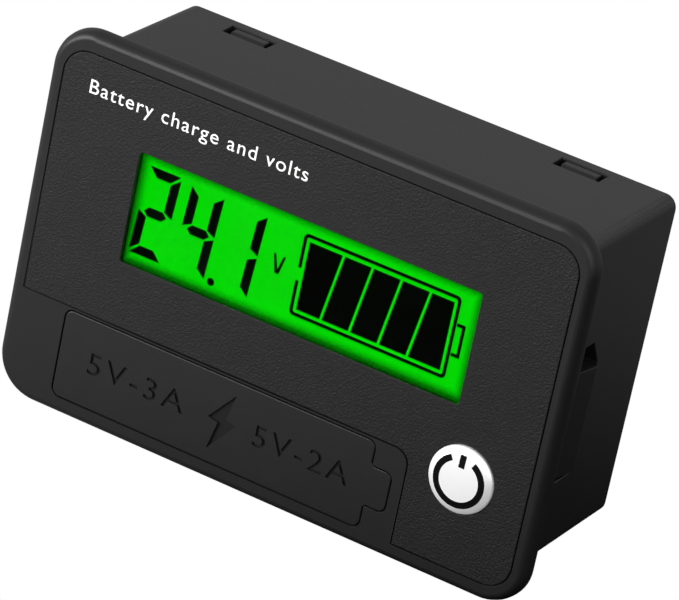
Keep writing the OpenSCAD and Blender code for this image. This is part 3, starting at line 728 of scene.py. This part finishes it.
# Moulded silicone: black, with a slightly tighter sheen than the case.
black_rubber = surface("black_silicone", "#191919", "#1d1d1d", 0.36, 0.5, 0.002, specular=0.31)
cover = piece(mesh, "port_cover_rubber", None, black_rubber, ["usb_cover", "cover_anchor"])
# The same silicone on the sunk floors: matt, and coloured darker than the face.
sunk_rubber = surface("matt_sunk_silicone", "#0c0c0c", "#101010", 0.6, 0.4, 0.004, specular=0.2)
cover.data.materials.append(sunk_rubber)
for face in cover.data.polygons:
    depth = face.center.y * 1000
    if face.normal.y < -0.9 and -1.78 < depth < -1.71 and face.center.x > -0.025:
        face.material_index = 1
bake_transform(cover)

# ---- Ports ----
# A USB-A and a Type-C socket on the power board, which show when the cover is open.
# Each has a folded steel shell, a moulded tongue and gold-plated contacts.

# Nickel plate on steel: a bright, slightly warm mirror.
nickel = surface("bright_nickel", "#c9c9c6", "#d2d2cf", 0.25, 0.3, 0.001, metallic=1.0)
# Thin gold plate: yellow and glossy.
gold = surface("gold_plate", "#e0b25c", "#e8bd6a", 0.22, 0.2, 0.0008, metallic=1.0)
# Moulded nylon, uncoloured and black: plain and half matt.
white_nylon = surface("white_nylon", "#e4e2da", "#ebe9e2", 0.5, 0.2, 0.002)
black_nylon = surface("black_nylon", "#141414", "#191919", 0.5, 0.2, 0.002)


def soften(node, body, finish, radius, steps=2):
    """A copy of a CAD node with its edges rounded, which stands for it."""
    mesh = cad_copy(node)
    round_edges(mesh, radius, steps)
    piece(mesh, node + "_piece", body, finish, [node])


soften("usb_a_shell", "meter", nickel, 0.06)
soften("usb_c_shell", "meter", nickel, 0.06)
soften("usb_a_tongue", "meter", white_nylon, 0.08)
soften("usb_c_tongue", "meter", black_nylon, 0.06)


def repeat_tree():
    """A node group that repeats its own mesh along a line and gives the row a finish."""
    group = bpy.data.node_groups.new("repeat_in_a_row", "GeometryNodeTree")
    inputs = (("Geometry", "Geometry"), ("Count", "Int"), ("Start", "Vector"), ("Step", "Vector"))
    for name, kind in (*inputs, ("Finish", "Material")):
        group.interface.new_socket(name, in_out="INPUT", socket_type="NodeSocket" + kind)
    group.interface.new_socket("Geometry", in_out="OUTPUT", socket_type="NodeSocketGeometry")
    given = add(group, "NodeGroupInput").outputs
    line = add(
        group,
        "GeometryNodeMeshLine",
        {"Count": given["Count"], "Start Location": given["Start"], "Offset": given["Step"]},
        mode="OFFSET",
    )
    placed = {"Points": line.outputs[0], "Instance": given["Geometry"]}
    points = add(group, "GeometryNodeInstanceOnPoints", placed)
    real = add(group, "GeometryNodeRealizeInstances", {"Geometry": points.outputs[0]})
    dressed = {"Geometry": real.outputs[0], "Material": given["Finish"]}
    painted = add(group, "GeometryNodeSetMaterial", dressed)
    add(group, "NodeGroupOutput", {"Geometry": painted.outputs[0]})
    return group


repeat_group = repeat_tree()


def add_row(mesh, unit, count, start, step, finish):
    """Repeats a unit in a row by Geometry Nodes and adds the row to a mesh. Places are in millimetres."""
    made = solid(unit, "unit")
    modifier = made.modifiers.new("repeat", "NODES")
    modifier.node_group = repeat_group
    values = {"Count": count, "Finish": finish}
    values["Start"] = [v / 1000 for v in start]
    values["Step"] = [v / 1000 for v in step]
    for item in repeat_group.interface.items_tree:
        if item.in_out == "INPUT" and item.name in values:
            modifier[item.identifier] = values[item.name]
    shown = made.evaluated_get(bpy.context.evaluated_depsgraph_get())
    data = bpy.data.meshes.new_from_object(shown)
    bpy.data.objects.remove(made)
    mesh.from_mesh(data)


def bar_unit(w, d, h, radius):
    """A small bar with rounded edges, from the origin's plane upwards in z."""
    mesh = bmesh.new()
    slab(mesh, box_points(-w / 2, 0, w / 2, h), -d / 2, d / 2)
    bmesh.ops.recalc_face_normals(mesh, faces=mesh.faces)
    round_edges(mesh, radius, 2)
    return mesh


contact_count, contact_pitch, contact_x, contact_y = 12, 0.5, -19.65, 3.3
mesh = bmesh.new()
for contact_z in (-15.5, -16.3):
    contact = bar_unit(0.26, 3.6, 0.1, 0.03)
    add_row(mesh, contact, contact_count, (contact_x, contact_y, contact_z), (contact_pitch, 0, 0), gold)
piece(mesh, "usb_c_contact_rows", "meter", gold, ["usb_c_contacts"])
soften("usb_a_contacts", "meter", gold, 0.04)

# ---- Boards and what they carry ----
# An upright board behind the display and a flat one that carries the sockets and the converter.
# The parts on them are soldered, and the display's lamps and holder stand between glass and board.

# Glass epoxy under a solder mask: a glossy dark green.
board_green = surface("green_solder_mask", "#0d4a26", "#12562e", 0.3, 1.1, 0.01)
# Transfer-moulded epoxy: a matt charcoal.
resin = surface("moulded_epoxy", "#141415", "#1a1a1b", 0.5, 0.15, 0.002)
# Dipped tin and zinc plate: soft grey mirrors, the zinc a little bluer.
tin = surface("bright_tin", "#c4c4c6", "#cfcfd1", 0.3, 0.2, 0.001, metallic=1.0)
zinc = surface("zinc_plate", "#b4b6b8", "#c0c2c4", 0.32, 0.3, 0.001, metallic=1.0)
# Sintered ferrite: dark, dull and slightly grainy.
ferrite = surface("sintered_ferrite", "#26262a", "#2e2e32", 0.55, 0.2, 0.01)
# Drawn aluminium cans: a bright, pale metal.
aluminium = surface("plain_aluminium", "#c8c9cc", "#d2d3d6", 0.28, 0.4, 0.002, metallic=1.0)
# Clear resin over phosphor: a glossy pale yellow.
led_resin = surface("led_resin", "#e6e2b8", "#efecc8", 0.3, 0.3, 0.002)
# Uncoloured ABS and white film: plain matt surfaces.
natural_abs = surface("natural_abs", "#cfcdc4", "#d8d6cd", 0.5, 0.3, 0.004)
white_film = surface("white_reflector", "#eeeeee", "#f6f6f6", 0.6, 0.3, 0.001)

soften("main_board", "meter", board_green, 0.05, 1)
soften("power_board", "meter", board_green, 0.05, 1)
soften("meter_chip", "meter", resin, 0.08)
soften("board_resistors", "meter", resin, 0.06)
soften("converter_chips", "meter", resin, 0.06)
soften("input_diode", "meter", resin, 0.1)
soften("board_header", "meter", black_nylon, 0.1)
soften("tact_switch", "meter", resin, 0.1)
soften("switch_plunger", "switch_stem", white_nylon, 0.15)
soften("board_screws", "meter", zinc, 0.12)
soften("header_pins", "meter", gold, 0.08)
soften("inductor_core", "meter", ferrite, 0.15)
soften("capacitors", "meter", aluminium, 0.15)
soften("backlight_leds", "meter", led_resin, 0.1)
soften("display_holder", "meter", natural_abs, 0.15)
dress(white_film, "reflector_film")

pin_count, pin_pitch, pin_wide, pin_long = 14, 2.54, 0.5, 10.05
mesh = bmesh.new()
add_row(mesh, bar_unit(pin_wide, pin_wide, pin_long, 0.08), pin_count, (0, 0, 0), (pin_pitch, 0, 0), tin)
lie_back = Matrix.Rotation(math.radians(-90), 3, "X")
bmesh.ops.rotate(mesh, verts=mesh.verts, cent=(0, 0, 0), matrix=lie_back)
pins_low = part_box("lcd_pins")[0]
half_pin = pin_wide / 2000
bmesh.ops.translate(mesh, verts=mesh.verts, vec=(pins_low.x + half_pin, pins_low.y, pins_low.z + half_pin))
piece(mesh, "lcd_pin_row", "meter", tin, ["lcd_pins"])

# Enamelled copper: a reddish metal under clear varnish.
wire = surface("enamelled_copper", "#a5552a", "#b56232", 0.3, 0.1, 0.001, metallic=1.0)
coil_r, wire_r, coil_steps, wire_steps = 3.0, 0.24, 64, 10
turn_mesh = bmesh.new()
loops = []
for k in range(coil_steps):
    a = 2 * math.pi * k / coil_steps
    loop = []
    for j in range(wire_steps):
        b = 2 * math.pi * j / wire_steps
        r = coil_r + wire_r * math.cos(b)
        point = (r * math.cos(a) / 1000, r * math.sin(a) / 1000, wire_r * math.sin(b) / 1000)
        loop.append(turn_mesh.verts.new(point))
    loops.append(loop)
for k in range(coil_steps):
    for j in range(wire_steps):
        n, m = (k + 1) % coil_steps, (j + 1) % wire_steps
        turn_mesh.faces.new((loops[k][j], loops[n][j], loops[n][m], loops[k][m]))
winding_low, winding_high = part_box("inductor_winding")
middle = (winding_low + winding_high) * 500
first_turn = (middle.x, middle.y, winding_low.z * 1000 + 0.25)
mesh = bmesh.new()
add_row(mesh, turn_mesh, 6, first_turn, (0, 0, 2 * wire_r), wire)
piece(mesh, "inductor_turns", "meter", wire, ["inductor_winding"])

# ---- Rear terminals ----
# A push-in block for the supply, soldered to the power board, with steel spring strips inside.
# Two release buttons slide in it and open the springs.

# Moulded polyamide, green for the block and orange for the buttons: half matt and slightly grained.
green_nylon = surface("green_polyamide", "#1c6b3c", "#217544", 0.45, 0.25, 0.004)
orange_nylon = surface("orange_polyamide", "#d9601a", "#e06a22", 0.42, 0.25, 0.004)
# Rolled spring steel: a smooth grey metal.
strip = surface("spring_steel", "#a8aaac", "#b4b6b8", 0.28, 0.3, 0.001, metallic=1.0)
soften("terminal_block", "meter", green_nylon, 0.2, 3)
for side in ("left", "right"):
    soften(side + "_release_button", side + "_release", orange_nylon, 0.2, 3)
soften("terminal_springs", "meter", strip, 0.05, 1)
soften("terminal_pins", "meter", tin, 0.05, 1)
